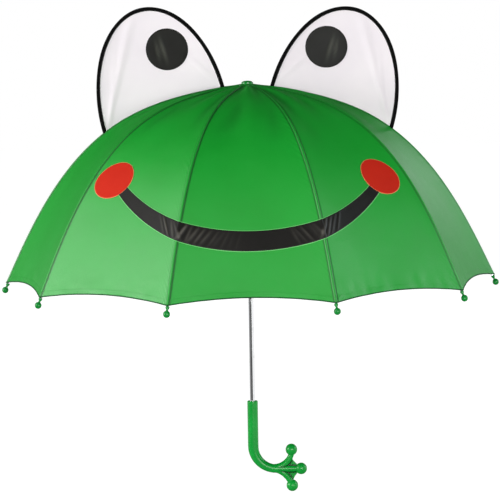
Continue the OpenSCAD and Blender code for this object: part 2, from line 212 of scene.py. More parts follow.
def front_crease(i, s, across):
    """A soft crease down the middle of the front panel, between the ribs at azimuth 18 on both sides."""
    if i not in (1, RIBS):
        return 0
    inward = np.maximum(across * (-1 if i == 1 else 1), 0)
    ridge = 1 - np.hypot(1 - inward, 0.04)
    return 0.08 * half_chord(s) * ridge * smoothstep(0.01, 0.05, s) * (1 - smoothstep(0.13, 0.30, s))


def seam_puckers(i, s, y):
    """Small slanting folds that the stitching draws in, on both sides of a seam."""
    draw = np.random.RandomState(40 + i)
    height = 0
    for _ in range(6):
        length = draw.uniform(7, 16) * MM
        slant = draw.uniform(0.8, 2.0)
        phase = draw.uniform(0, 2 * math.pi)
        swell = 0.5 + 0.5 * np.sin(s / draw.uniform(0.03, 0.07) + phase)
        height = height + swell * np.sin(2 * math.pi * (s + slant * np.abs(y)) / length + phase)
    near = np.exp(-np.abs(y) / (8 * MM)) * smoothstep(1.5 * MM, 4 * MM, np.abs(y))
    return 0.11 * MM * height * near


def relief(i, s, across):
    """Height of the seams, hem and small folds over the plain cloth."""
    points = plain_cloth(i, s, across, CLOTH_UP)
    y = across * half_chord(s)
    top = smoothstep(0.0, 0.05, s)
    seam = 0.75 * MM * (1 - smoothstep(SEAM_HALF, SEAM_HALF + 0.9 * MM, np.abs(y))) * top
    seam = seam - 0.40 * MM * bump_at(y, SEAM_LINE, 0.9 * MM) * top
    pucker = seam_puckers(i, s, y) * top
    from_hem = hem_at(across) - s
    hem = 0.15 * MM * (1 - smoothstep(6.5 * MM, 7.6 * MM, from_hem))
    free = smoothstep(0, 0.3, np.abs(across))
    flutter = 0.5 * MM * small_waves(points) * np.exp(-from_hem / (22 * MM)) * free
    drape = 0.8 * MM * big_waves(points) * smoothstep(0, 0.5, np.abs(across)) * top
    gather = radial_folds(points, s) * smoothstep(0, 0.4, np.abs(across))
    return seam + pucker + hem + flutter + drape + gather + front_crease(i, s, across)


def cloth(i, s, across, off=0.0):
    """Points and normals of the cloth's outer face, moved off along its normal."""
    s, across = np.broadcast_arrays(np.asarray(s, float), np.asarray(across, float))

    def at(s, across):
        return plain_cloth(i, s, across, CLOTH_UP + relief(i, s, across))

    ds = 0.4 * MM
    da = 0.2 * MM / np.maximum(half_chord(s), 1 * MM)
    along = at(s + ds, across) - at(np.maximum(s - ds, 0), across)
    round_it = at(s, across + da) - at(s, across - da)
    normal = np.cross(round_it, along)
    normal *= np.sign(normal[..., 2:3])
    normal /= np.linalg.norm(normal, axis=-1, keepdims=True)
    return at(s, across) + normal * np.asarray(off)[..., None], normal


# ---- Meshes
def signed_volume(mesh):
    work = bmesh.new()
    work.from_mesh(mesh)
    volume = work.calc_volume(signed=True)
    work.free()
    return volume


def mesh_object(name, points, faces, material, uv=None, normals=None, smooth=True):
    mesh = bpy.data.meshes.new(name)
    mesh.from_pydata([tuple(p) for p in points], [], faces)
    mesh.materials.append(material)
    if uv is not None:
        layer = mesh.uv_layers.new(name="cloth")
        index = np.zeros(len(mesh.loops), int)
        mesh.loops.foreach_get("vertex_index", index)
        layer.data.foreach_set("uv", np.asarray(uv, float)[index].ravel())
    mesh.validate()
    if signed_volume(mesh) < 0:
        mesh.flip_normals()
    if smooth:
        mesh.shade_smooth()
    if normals is not None:
        mesh.normals_split_custom_set_from_vertices([tuple(n) for n in normals])
    obj = bpy.data.objects.new(name, mesh)
    bpy.context.scene.collection.objects.link(obj)
    return obj


def grid_faces(rows, cols, start=0, flip=False, closed=False):
    faces = []
    for i in range(rows - 1):
        for j in range(cols if closed else cols - 1):
            k = (j + 1) % cols
            face = (start + i * cols + j, start + (i + 1) * cols + j,
                    start + (i + 1) * cols + k, start + i * cols + k)
            faces.append(face[::-1] if flip else face)
    return faces


def end_caps(rows, cols):
    """The first and last ring of a closed grid, each as one face."""
    return [tuple(range(cols)), tuple(range(rows * cols - 1, (rows - 1) * cols - 1, -1))]


def grid_rim(rows, cols):
    return (list(range(cols)) + [i * cols + cols - 1 for i in range(1, rows)]
            + [(rows - 1) * cols + j for j in range(cols - 2, -1, -1)]
            + [i * cols for i in range(rows - 2, 0, -1)])


def shell(name, outer, inner, material, uv=None, normals=None):
    """Closed thin piece between two grids of points."""
    rows, cols = outer.shape[:2]
    count = rows * cols
    rim = grid_rim(rows, cols)
    faces = grid_faces(rows, cols) + grid_faces(rows, cols, count, flip=True)
    faces += [(rim[k], rim[(k + 1) % len(rim)], rim[(k + 1) % len(rim)] + count, rim[k] + count)
              for k in range(len(rim))]
    points = np.concatenate([outer.reshape(-1, 3), inner.reshape(-1, 3)])
    if uv is not None:
        uv = np.concatenate([uv.reshape(-1, 2)] * 2)
    if normals is not None:
        flat = normals.reshape(-1, 3)
        normals = np.concatenate([flat, -flat])
    return mesh_object(name, points, faces, material, uv, normals)


def patch(name, outer, inner, material, uv):
    """Closed thin piece between two grids of rings that grow from a small one in the middle."""
    rows, cols = outer.shape[:2]
    count = rows * cols
    faces = grid_faces(rows, cols, closed=True) + grid_faces(rows, cols, count, flip=True, closed=True)
    faces += [tuple(range(cols)), tuple(range(count + cols - 1, count - 1, -1))]
    rim = (rows - 1) * cols
    faces += [(rim + k, rim + (k + 1) % cols, rim + (k + 1) % cols + count, rim + k + count)
              for k in range(cols)]
    points = np.concatenate([outer.reshape(-1, 3), inner.reshape(-1, 3)])
    return mesh_object(name, points, faces, material, np.concatenate([uv.reshape(-1, 2)] * 2))


def tube_points(path, radius, sides, across=None, flatten=1.0):
    """Rings of points round a path. across is the direction that a flattened tube is wide along."""
    path = np.asarray(path, float)
    ahead = np.gradient(path, axis=0)
    ahead /= np.linalg.norm(ahead, axis=1)[:, None]
    if across is None:
        turn = np.cross(ahead[0], [0, 0, 1.0])
        if np.linalg.norm(turn) < 0.1:
            turn = np.cross(ahead[0], [0, 1.0, 0])
        across = np.zeros_like(path)
        for k in range(len(path)):
            turn = turn - ahead[k] * (turn @ ahead[k])
            turn /= np.linalg.norm(turn)
            across[k] = turn
    side = np.cross(ahead, across)
    side /= np.linalg.norm(side, axis=1)[:, None]
    across = np.cross(side, ahead)
    radius = np.broadcast_to(np.asarray(radius, float), len(path))
    angle = np.linspace(0, 2 * math.pi, sides, endpoint=False)[None, :, None]
    ring = np.cos(angle) * across[:, None] + flatten * np.sin(angle) * side[:, None]
    return path[:, None] + radius[:, None, None] * ring


def tube(name, path, radius, material, sides=16, across=None, flatten=1.0):
    rings = tube_points(path, radius, sides, across, flatten)
    rows = len(rings)
    faces = grid_faces(rows, sides, closed=True) + end_caps(rows, sides)
    length = np.concatenate([[0], np.cumsum(np.linalg.norm(np.diff(path, axis=0), axis=1))])
    uv = np.stack(np.meshgrid(np.arange(sides) / sides * 0.01, length), -1).reshape(-1, 2)
    return mesh_object(name, rings.reshape(-1, 3), faces, material, uv)


def lathe(name, profile, material, place, sides=48):
    """Solid of revolution round its own +Z, moved by place. profile is a list of (radius, height)."""
    angle = np.linspace(0, 2 * math.pi, sides, endpoint=False)
    profile = np.asarray(profile, float)
    rings = np.stack([profile[:, :1] * np.cos(angle), profile[:, :1] * np.sin(angle),
                      np.repeat(profile[:, 1:], sides, 1)], -1)
    rows = len(profile)
    faces = grid_faces(rows, sides, closed=True) + end_caps(rows, sides)
    obj = mesh_object(name, rings.reshape(-1, 3), faces, material)
    obj.data.transform(place)
    obj.data.set_sharp_from_angle(angle=math.radians(38))
    return obj


# ---- Materials
def new_material(name):
    material = bpy.data.materials.new(name)
    material.use_nodes = True
    nodes = material.node_tree.nodes
    return material, nodes, material.node_tree.links, nodes["Principled BSDF"]


def node(nodes, kind, **values):
    made = nodes.new(kind)
    for key, value in values.items():
        if key in made.inputs:
            made.inputs[key].default_value = value
        else:
            setattr(made, key, value)
    return made


def mix_colour(nodes, links, factor, a, b):
    made = nodes.new("ShaderNodeMix")
    made.data_type = "RGBA"
    for socket, value in ((made.inputs[0], factor), (made.inputs[6], a), (made.inputs[7], b)):
        if isinstance(value, bpy.types.NodeSocket):
            links.new(value, socket)
        else:
            socket.default_value = value
    return made.outputs[2]


def ramp(nodes, links, source, stops):
    made = nodes.new("ShaderNodeValToRGB")
    links.new(source, made.inputs[0])
    elements = made.color_ramp.elements
    elements[0].position, elements[1].position = stops[0][0], stops[-1][0]
    for place, _ in stops[1:-1]:
        elements.new(place)
    for element, (place, value) in zip(elements, stops):
        element.position = place
        element.color = (value, value, value, 1)
    return made.outputs[0]


def noise(nodes, links, vector, scale, detail=3.0, rough=0.5):
    made = node(nodes, "ShaderNodeTexNoise", Scale=scale, Detail=detail, Roughness=rough)
    links.new(vector, made.inputs["Vector"])
    return made.outputs["Fac"]


def weave_height(nodes, links, vector, pitch):
    """Threads that cross, pitch apart."""
    parts = nodes.new("ShaderNodeSeparateXYZ")
    links.new(vector, parts.inputs[0])
    waves = []
    for k in (0, 1):
        turn = node(nodes, "ShaderNodeMath", operation="MULTIPLY")
        turn.inputs[1].default_value = 2 * math.pi / pitch
        links.new(parts.outputs[k], turn.inputs[0])
        wave = node(nodes, "ShaderNodeMath", operation="SINE")
        links.new(turn.outputs[0], wave.inputs[0])
        waves.append(wave.outputs[0])
    both = node(nodes, "ShaderNodeMath", operation="MULTIPLY")
    links.new(waves[0], both.inputs[0])
    links.new(waves[1], both.inputs[1])
    return both.outputs[0]


def add_bumps(nodes, links, shader, heights):
    """Chains bumps: each is (height socket, strength, distance in metres)."""
    normal = None
    for height, strength, distance in heights:
        bump = node(nodes, "ShaderNodeBump", Strength=strength, Distance=distance)
        links.new(height, bump.inputs["Height"])
        if normal is not None:
            links.new(normal, bump.inputs["Normal"])
        normal = bump.outputs["Normal"]
    links.new(normal, shader.inputs["Normal"])


def with_painted_light(nodes, links, colour, painted_light):
    """The colour, mixed towards a second colour where the mesh's own attribute says: painted shade in
    seams, folds and creases, painted highlight on wrinkle crests.
    """
    if painted_light is None:
        return colour
    painted_light_amount = nodes.new("ShaderNodeAttribute")
    painted_light_amount.attribute_name = "painted_light"
    return mix_colour(nodes, links, painted_light_amount.outputs["Fac"], colour, painted_light)


def uneven_roughness(nodes, links, shader, source, low, high):
    rough = node(nodes, "ShaderNodeMapRange")
    links.new(source, rough.inputs["Value"])
    rough.inputs["To Min"].default_value = low
    rough.inputs["To Max"].default_value = high
    links.new(rough.outputs[0], shader.inputs["Roughness"])


def cloth_material(name, dark, light, roughness, sheen=0.0, pitch=0.45 * MM, fold=0.0, painted_light=None,
                   mottle=0.25, specular=0.5):
    """Woven cloth: crossing threads, slight unevenness of dye, and small creases."""
    material, nodes, links, shader = new_material(name)
    place = nodes.new("ShaderNodeTexCoord").outputs["Object"]
    uneven = noise(nodes, links, place, 14, 4)
    fibre = noise(nodes, links, place, 900, 2)
    colour = mix_colour(nodes, links, ramp(nodes, links, uneven, [(0.3, 0), (0.7, 1)]), dark, light)
    threads = mix_colour(nodes, links, ramp(nodes, links, fibre, [(0.35, 0.82), (0.65, 1)]), dark, light)
    colour = mix_colour(nodes, links, mottle, colour, threads)
    links.new(with_painted_light(nodes, links, colour, painted_light), shader.inputs["Base Color"])
    gloss = noise(nodes, links, place, 40, 3)
    uneven_roughness(nodes, links, shader, gloss, roughness - 0.05, roughness + 0.05)
    shader.inputs["Sheen Weight"].default_value = sheen
    shader.inputs["Sheen Roughness"].default_value = 0.4
    shader.inputs["Specular IOR Level"].default_value = specular
    uv = nodes.new("ShaderNodeUVMap")
    heights = [(weave_height(nodes, links, uv.outputs[0], pitch), 0.25, 0.05 * MM)]
    if fold:
        heights.append((noise(nodes, links, place, 60, 2), fold, 1 * MM))
    add_bumps(nodes, links, shader, heights)
    return material


def plastic_material(name, dark, light, roughness, specular=0.35, painted_light=None):
    """Moulded plastic with a slight orange peel and faint flow marks."""
    material, nodes, links, shader = new_material(name)
    place = nodes.new("ShaderNodeTexCoord").outputs["Object"]
    flow = noise(nodes, links, place, 35, 3)
    colour = mix_colour(nodes, links, ramp(nodes, links, flow, [(0.3, 0), (0.7, 1)]), dark, light)
    links.new(with_painted_light(nodes, links, colour, painted_light), shader.inputs["Base Color"])
    scuffs = noise(nodes, links, place, 220, 5, 0.7)
    uneven_roughness(nodes, links, shader, scuffs, roughness - 0.04, roughness + 0.10)
    shader.inputs["Specular IOR Level"].default_value = specular
    peel = noise(nodes, links, place, 500, 2)
    add_bumps(nodes, links, shader, [(peel, 0.15, 0.05 * MM)])
    return material


def metal_material(name, colour, roughness, brushed=0.0):
    """Plated or drawn metal with fine lines along Z and a few duller spots."""
    material, nodes, links, shader = new_material(name)
    place = nodes.new("ShaderNodeTexCoord").outputs["Object"]
    stretch = nodes.new("ShaderNodeMapping")
    stretch.inputs["Scale"].default_value = (1, 1, 0.05)
    links.new(place, stretch.inputs["Vector"])
    lines = noise(nodes, links, stretch.outputs[0], 1500, 2)
    spots = noise(nodes, links, place, 90, 4)
    dull = tuple(c * 0.8 for c in colour[:3]) + (1,)
    links.new(mix_colour(nodes, links, ramp(nodes, links, spots, [(0.55, 0), (0.75, 1)]), colour, dull),
              shader.inputs["Base Color"])
    shader.inputs["Metallic"].default_value = 1.0
    uneven_roughness(nodes, links, shader, spots, roughness, roughness + 0.08)
    add_bumps(nodes, links, shader, [(lines, 0.05 + brushed, 0.02 * MM)])
    return material


# The canopy's darker second green is painted shade beside the seams, in the fold valleys under the cap and
# along the hem's stitching.
SATIN = cloth_material("canopy_satin", (0.002, 0.292, 0.017, 1), (0.004, 0.325, 0.024, 1), 0.42,
                       painted_light=(0.001, 0.070, 0.007, 1), fold=0.10, specular=0.7)
HEM_CLOTH = cloth_material("hem_binding", (0.004, 0.070, 0.015, 1), (0.006, 0.095, 0.020, 1), 0.6,
                           specular=0.2)
# The black satin's lighter second colour is a painted highlight on the crests of the mouth's puckers.
BLACK_SATIN = cloth_material("black_satin", (0.004, 0.004, 0.003, 1), (0.010, 0.009, 0.008, 1), 0.45,
                             painted_light=(0.085, 0.080, 0.068, 1), fold=0.12, specular=0.22)
# The pupil cloth's lighter second colour is a painted highlight on the crests of its wrinkles.
PUPIL_CLOTH = cloth_material("pupil_cloth", (0.004, 0.004, 0.003, 1), (0.009, 0.009, 0.007, 1), 0.42,
                             painted_light=(0.045, 0.047, 0.037, 1), fold=0.12, specular=0.12)
PIPING_CLOTH = cloth_material("piping_cloth", (0.001, 0.001, 0.001, 1), (0.003, 0.003, 0.003, 1), 0.7,
                              specular=0.05)
WHITE_CLOTH = cloth_material("eye_white_cloth", (0.755, 0.70, 0.745, 1), (0.805, 0.75, 0.785, 1), 0.6,
                             mottle=0.1, specular=0.2)
RED_CLOTH = cloth_material("cheek_red_cloth", (0.46, 0.010, 0.001, 1), (0.54, 0.015, 0.002, 1), 0.65,
                           specular=0.2)
LIGHT_THREAD = cloth_material("light_green_thread", (0.10, 0.55, 0.12, 1), (0.20, 0.68, 0.20, 1), 0.6, 0.2,
                              pitch=0.9 * MM)
ORANGE_THREAD = cloth_material("orange_thread", (0.75, 0.20, 0.06, 1), (0.85, 0.32, 0.12, 1), 0.6, 0.2,
                               pitch=0.9 * MM)
BLACK_THREAD = cloth_material("black_thread", (0.004, 0.004, 0.004, 1), (0.01, 0.01, 0.01, 1), 0.5,
                              pitch=0.9 * MM)
STRAP_CLOTH = cloth_material("strap_webbing", (0.012, 0.16, 0.035, 1), (0.02, 0.22, 0.05, 1), 0.55, 0.2,
                             pitch=1.2 * MM)
# The handle's darker second green is painted shade in its creases, where the toes meet each other and the
# web.
HANDLE_PLASTIC = plastic_material("handle_plastic", (0.003, 0.28, 0.030, 1), (0.005, 0.34, 0.040, 1), 0.24,
                                  painted_light=(0.001, 0.06, 0.008, 1))
TIP_PLASTIC = plastic_material("tip_plastic", (0.003, 0.19, 0.024, 1), (0.005, 0.25, 0.034, 1), 0.22)
RUNNER_PLASTIC = plastic_material("runner_plastic", (0.70, 0.70, 0.68, 1), (0.80, 0.80, 0.78, 1), 0.35)
CHROME = metal_material("shaft_chrome", (0.80, 0.81, 0.82, 1), 0.08)
STEEL = metal_material("frame_steel", (0.60, 0.61, 0.63, 1), 0.25, 0.08)
WIRE = metal_material("ring_wire", (0.40, 0.40, 0.42, 1), 0.35, 0.1)
SPRING = metal_material("spring_steel", (0.50, 0.52, 0.56, 1), 0.22, 0.05)


# ---- Canopy
COLS = 22
ROWS = 112
HEM_ROWS = 8
HEM_BAND = 10 * MM


def columns():
    """Places across one side of a panel, close together at the seam."""
    q = np.linspace(0, 1, COLS + 1)
    grow = 3.0
    side = (np.exp(grow * q) - 1) / (math.exp(grow) - 1)
    return np.concatenate([-side[:0:-1], side])


# Per point, the share of the material's second colour: painted shade on the canopy and handle, painted
# highlight on the mouth and pupils.
def painted_light_attribute(obj, values):
    layer = obj.data.attributes.new("painted_light", "FLOAT", "POINT")
    layer.data.foreach_set("value", np.asarray(values, np.float32))


def fold_with_rib(piece, i):
    """The piece moves with rib i, on a mesh of its own."""
    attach(piece, f"rib_{i:02d}")
    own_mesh(piece)


def canopy_gore(i):
    across = columns()[None, :]
    end = hem_at(across)
    rows = [(end - HEM_BAND) * k / ROWS for k in range(ROWS)]
    rows += [end - HEM_BAND * (1 - k / HEM_ROWS) for k in range(HEM_ROWS + 1)]
    s = np.concatenate(rows)
    across = np.broadcast_to(across, s.shape)
    outer, normal = cloth(i, s, across)
    inner = outer - normal * CLOTH_T
    y = across * half_chord(s)
    piece = shell(f"canopy_gore_{i:02d}", outer, inner, SATIN, np.stack([y, s], -1), normal)
    # Painted shade: dark lines beside each seam, in the valleys of the folds below the cap and along the
    # hem's stitching, less of it on the inner face.
    near_side_shade = 0.8 if math.sin(azimuth(i)) > 0 else 0.3    # painted shade on each seam's other side, stronger on the +X half as the light falls there
    wide = (1.15 + 0.6 * (1 - smoothstep(0.10, 0.26, s))) * MM
    painted_light_amount = bump_at(y, SEAM_LINE, wide) + near_side_shade * bump_at(y, -SEAM_LINE, 0.9 * wide)
    painted_light_amount = np.minimum(painted_light_amount, 1) * smoothstep(0.002, 0.03, s)
    # Painted shade in the fold valleys.
    valley = -radial_folds(plain_cloth(i, s, across, 0), s) / (1.6 * MM)
    painted_light_amount = np.maximum(painted_light_amount, 0.35 * np.clip(valley, 0, 1) * smoothstep(0, 0.4, np.abs(across)))
    # Painted shade along the hem's stitching.
    painted_light_amount = np.maximum(painted_light_amount, 0.18 * bump_at(end - s, 7 * MM, 0.6 * MM))
    painted_light_attribute(piece, np.concatenate([painted_light_amount.ravel(), painted_light_amount.ravel() * 0.6]))
    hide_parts(f"canopy_{i:02d}")
    fold_with_rib(piece, i)

    q = columns()
    path, normal = cloth(i, hem_at(q), q, -0.2 * MM)
    hem = tube(f"hem_{i:02d}", path, 0.85 * MM, HEM_CLOTH, 10)
    fold_with_rib(hem, i)


for i in range(1, RIBS + 1):
    canopy_gore(i)


# ---- Tips, cap
POLE_R = 0.02 * MM                         # a turned profile stops just short of its axis


def turned(direction, place):
    """Matrix that takes +Z to direction and the origin to place."""
    turn = Vector(direction).to_track_quat("Z", "Y").to_matrix().to_4x4()
    return Matrix.Translation(Vector(place)) @ turn


def rib_vector(i, out, up):
    a = azimuth(i)
    return Vector((out * math.sin(a), -out * math.cos(a), up))


def tip(i):
    r, z = rib_point(RIB_LEN, 0.0)
    way = rib_vector(i, math.cos(SLOPE_HEM), -math.sin(SLOPE_HEM))
    start = -1.5 * MM
    profile = [(2.2 * MM, start), (2.6 * MM, start + 0.4 * MM), (2.6 * MM, 0.3 * MM), (2.3 * MM, 1.3 * MM),
               (1.55 * MM, 2.4 * MM), (1.45 * MM, 3.6 * MM), (1.7 * MM, 4.6 * MM)]
    angles = np.radians(np.linspace(22, 180, 22))
    profile += [(max(TIP_BALL_R * math.sin(a), POLE_R), TIP_OUT - TIP_BALL_R * math.cos(a))
                for a in angles]
    place = turned(way, rib_vector(i, float(r), float(z)))
    piece = lathe(f"ball_tip_{i:02d}", profile, TIP_PLASTIC, place, 32)
    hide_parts(f"tip_{i:02d}")
    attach(piece, f"rib_{i:02d}")


for i in range(1, RIBS + 1):
    tip(i)


def top_cap():
    low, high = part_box("top_cap")
    r = (high.x - low.x) / 2
    h = high.z - low.z
    skirt = -2.6 * MM                      # hides the gap between the cap and the cloth
    brim = 2.0 * MM
    dome = r - 1.2 * MM
    profile = [(r * 0.5, skirt), (r - 0.4 * MM, skirt), (r, skirt + 0.4 * MM), (r, 1.3 * MM),
               (r - 0.5 * MM, 1.8 * MM), (dome, brim)]
    profile += [(max(dome * math.cos(a), POLE_R), brim + (h - brim) * math.sin(a))
                for a in np.radians(np.linspace(8, 90, 14))]
    piece = lathe("cap", profile, TIP_PLASTIC, Matrix.Translation((0, 0, low.z)))
    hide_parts("top_cap")
    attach(piece, "stick")


top_cap()


# ---- Handle
GRIP_R = 7.75 * MM
GRIP_TOP = 31 * MM
BEND_R = 34 * MM
BEND_Z = -35.5 * MM
PALM_R = 6.1 * MM
TOE_ROOT_R = 5.4 * MM
TOE_R = 4.0 * MM
TOE_BALL_R = 8.5 * MM
TOES = {"upper": (55.4 * MM, -41.6 * MM), "middle": (69.3 * MM, -69.8 * MM),
        "lower": (56.1 * MM, -94.4 * MM)}
HOOK = (29 * MM, -40.5 * MM, 27.3 * MM)    # middle and radius of the upper toe's curve
WEB_HALF = 1.1 * MM
FULL_CREASE = 0.006 * MM                   # a point this deep between its neighbours gets the full painted shade
WEB = ((40, -66), (47, -60), (53, -50), (58, -57.5), (64, -64), (66, -69.8), (64, -76), (60, -81),
       (57, -88), (50, -84), (43, -77))    # outline of the web between the toes, in mm


def arc(x, z, r, start, end, count):
    a = np.radians(np.linspace(start, end, count))
    return np.stack([x + r * np.cos(a), 0 * a, z + r * np.sin(a)], -1)


def swept_grip():
    """The grip, its bend and the middle toe, as one tube that thins towards the toe."""
    top = np.array([[0, 0, GRIP_TOP], [0, 0, GRIP_TOP - 0.35 * MM]])
    straight = np.stack([np.zeros(18), np.zeros(18), np.linspace(GRIP_TOP - 1.2 * MM, BEND_Z, 18)], -1)
    bend = arc(BEND_R, BEND_Z, BEND_R, 180, 270, 24)[1:]
    toe = np.stack([np.linspace(BEND_R + 4 * MM, TOES["middle"][0], 10), np.zeros(10),
                    np.linspace(BEND_Z - BEND_R, TOES["middle"][1], 10)], -1)
    radius = np.concatenate([[GRIP_R - 1.0 * MM, GRIP_R - 0.25 * MM], np.full(18, GRIP_R),
                             np.linspace(GRIP_R, PALM_R, 23), np.linspace(PALM_R - 0.5 * MM, TOE_R, 10)])
    return tube("handle_grip", np.concatenate([top, straight, bend, toe]), radius, HANDLE_PLASTIC, 48)


def lower_toe():
    t = np.linspace(0, 1, 20)[:, None]
    palm = BEND_Z - BEND_R
    x, z = TOES["lower"]
    ends = np.array([[25 * MM, 0, palm + 0.5 * MM], [46 * MM, 0, palm - 1 * MM],
                     [x - 1 * MM, 0, z + 2 * MM]])
    path = (1 - t) ** 2 * ends[0] + 2 * t * (1 - t) * ends[1] + t * t * ends[2]
    return tube("handle_lower_toe", path, np.linspace(TOE_ROOT_R, TOE_R, 20), HANDLE_PLASTIC, 32)


def web():
    """Thin plate between the toes."""
    outline = np.array(WEB) * MM
    n = len(outline)
    points = [(x, side * WEB_HALF, z) for side in (-1, 1) for x, z in outline]
    faces = [tuple(range(n)), tuple(range(2 * n - 1, n - 1, -1))]
    faces += [(k, k + n, (k + 1) % n + n, (k + 1) % n) for k in range(n)]
    return mesh_object("handle_web", points, faces, HANDLE_PLASTIC, smooth=False)


def crease_shade(mesh):
    """How deep each point lies in a crease, 0 to 1, which is how much painted shade it gets."""
    count = len(mesh.vertices)
    points = np.empty(count * 3)
    normals = np.empty(count * 3)
    mesh.vertices.foreach_get("co", points)
    mesh.vertices.foreach_get("normal", normals)
    points, normals = points.reshape(-1, 3), normals.reshape(-1, 3)
    ends = np.empty(len(mesh.edges) * 2, int)
    mesh.edges.foreach_get("vertices", ends)
    ends = ends.reshape(-1, 2)
    share = np.bincount(ends.ravel(), minlength=count).astype(float)

    def mean_of_neighbours(values):
        total = np.zeros_like(values)
        np.add.at(total, ends[:, 0], values[ends[:, 1]])
        np.add.at(total, ends[:, 1], values[ends[:, 0]])
        return total / (share[:, None] if values.ndim == 2 else share)

    depth = ((mean_of_neighbours(points) - points) * normals).sum(1)
    for _ in range(4):
        depth = mean_of_neighbours(depth)
    return np.clip(depth / FULL_CREASE, 0, 1)


def handle():
    upper = tube("handle_upper_toe", arc(*HOOK, -104, -14, 24), np.linspace(TOE_ROOT_R, TOE_R, 24),
                 HANDLE_PLASTIC, 32)
    parts = [swept_grip(), upper, lower_toe(), web()]
    bpy.ops.object.select_all(action="DESELECT")
    for part in parts:
        part.select_set(True)
    piece = parts[0]
    bpy.context.view_layer.objects.active = piece
    bpy.ops.object.join()
    piece.name = "handle_body"
    fuse = piece.modifiers.new("fuse", "REMESH")
    fuse.mode = "VOXEL"
    fuse.voxel_size = 0.45 * MM
    fuse.use_smooth_shade = True
    soften = piece.modifiers.new("soften", "SMOOTH")
    soften.factor = 0.5
    soften.iterations = 4
    for name in ("fuse", "soften"):
        bpy.ops.object.modifier_apply(modifier=name)
    # Painted shade in the creases, where the toes meet each other and the web.
    painted_light_attribute(piece, crease_shade(piece.data))
    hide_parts("handle")
    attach(piece, "stick")
    for name, (x, z) in TOES.items():
        a = np.radians(np.linspace(0.5, 179.5, 28))
        profile = np.stack([TOE_BALL_R * np.sin(a), -TOE_BALL_R * np.cos(a)], -1)
        ball = lathe(f"toe_ball_{name}", profile, HANDLE_PLASTIC, turned((0, -1, 0), (x, 0, z)), 48)
        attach(ball, "stick")


handle()


# ---- Eyes
SEAM_TOP = CLOTH_UP + 0.5 * MM
SIGN = {"right": 1, "left": -1}
EYE_BODY = {"right": "rib_03", "left": "rib_08"}
EYE_CLOTH_HALF = 0.3 * MM
TAPE_R = 2.9 * MM


def eye_frame():
    """An eye's chord in the plane of the rib at azimuth 90: start, direction, length."""
    r, z = rib_point(np.array(EYE_ENDS), SEAM_TOP)
    start = np.array([r[0], z[0]])
    way = np.array([r[1], z[1]]) - start
    return start, way / np.linalg.norm(way), float(np.linalg.norm(way))


def eye_arc(side, angle, inset=0.0):
    start, way, chord = eye_frame()
    along = chord / 2 - (chord / 2 - inset) * np.cos(angle) - EYE_LEAN[side] * np.sin(angle)
    up = (EYE_H[side] - inset) * np.sin(angle)
    return start + along[:, None] * way + up[:, None] * np.array([-way[1], way[0]])


def eye_folds(side, x, z):
    """How far an eye's cloth stands towards the back: pulled folds from its corners, and a slight belly."""
    start, way, chord = eye_frame()
    along = ((x - start[0]) * way[0] + (z - start[1]) * way[1]) / chord
    up = ((x - start[0]) * -way[1] + (z - start[1]) * way[0]) / EYE_H[side]
    high = np.clip(up, 0, 1)
    corner = -1.9 * MM * bump_at(along, 0.985 - 0.52 * up, 0.020 + 0.030 * high)
    beside = -0.8 * MM * bump_at(along, 0.955 - 0.36 * up, 0.012 + 0.012 * high)
    beside *= 1 - smoothstep(0.5, 0.85, up)
    inner = -1.1 * MM * bump_at(along, 0.42 * up, 0.022)
    inner *= smoothstep(0.03, 0.12, up) * (1 - smoothstep(0.3, 0.5, up))
    belly = 3.0 * MM * np.sin(np.clip(along, 0, 1) * math.pi) * np.sin(high * math.pi) ** 0.8
    return corner + beside + inner + belly


def eye_place(side, x, z, depth):
    """Points of an eye's upright plane. Depth counts towards the back."""
    return np.stack([SIGN[side] * x, depth, z], -1)


def area_inside(outline):
    ahead = np.roll(outline, -1, 0)
    return abs(float((outline[:, 0] * ahead[:, 1] - ahead[:, 0] * outline[:, 1]).sum() / 2))


def eye_cloth(side):
    """The white cloth, and what its sheet is: flat size and area."""
    top = eye_arc(side, np.linspace(math.radians(1), math.radians(178.5), 140), TAPE_R * 0.6)
    s = np.linspace(EYE_ENDS[1] - 2 * MM, EYE_ENDS[0] + 2 * MM, 60)[1:-1]
    edge = np.concatenate([top, np.stack(rib_point(s, CLOTH_UP + 0.2 * MM), -1)])
    middle = edge.mean(0)
    f = np.linspace(0, 1, 31)
    f[0] = 0.01
    grid = middle + f[:, None, None] * (edge - middle)
    x, z = grid[..., 0], grid[..., 1]
    depth = eye_folds(side, x, z)
    depth *= 1 - f[:, None] ** 6
    piece = patch(f"eye_cloth_{side}", eye_place(side, x, z, depth - EYE_CLOTH_HALF),
                  eye_place(side, x, z, depth + EYE_CLOTH_HALF), WHITE_CLOTH, grid)
    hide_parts(f"eye_{side}")
    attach(piece, EYE_BODY[side])
    piece.visible_glossy = False           # the satin before it stays deep green
    return piece, (float(x.max() - x.min()), float(z.max() - z.min())), area_inside(edge)


def eye_piping(side):
    """The wired tape round an eye, with a line of stitching on both faces."""
    angle = np.linspace(math.radians(-1.0), math.radians(181), 150)
    line = eye_arc(side, angle)
    path = eye_place(side, line[:, 0], line[:, 1], 0 * angle)
    out = np.gradient(path, axis=0)
    out = np.stack([-out[:, 2], 0 * out[:, 0], out[:, 0]], -1)
    out /= np.linalg.norm(out, axis=1)[:, None]
    radius = TAPE_R * (1 + 0.04 * np.sin(angle * 9))
    piping = tube(f"eye_edge_tape_{side}", path, radius, PIPING_CLOTH, 18, out, 0.55)
    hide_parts(f"eye_piping_{side}")
    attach(piping, EYE_BODY[side])
    inner = eye_arc(side, angle[3:-3], TAPE_R * 0.72)
    for face, depth in (("front", -1.25 * MM), ("back", 1.25 * MM)):
        path = eye_place(side, inner[:, 0], inner[:, 1], 0 * inner[:, 0] + depth)
        stitch = tube(f"eye_stitching_{side}_{face}", path, 0.28 * MM, BLACK_THREAD, 6)
        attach(stitch, EYE_BODY[side])
    return piping


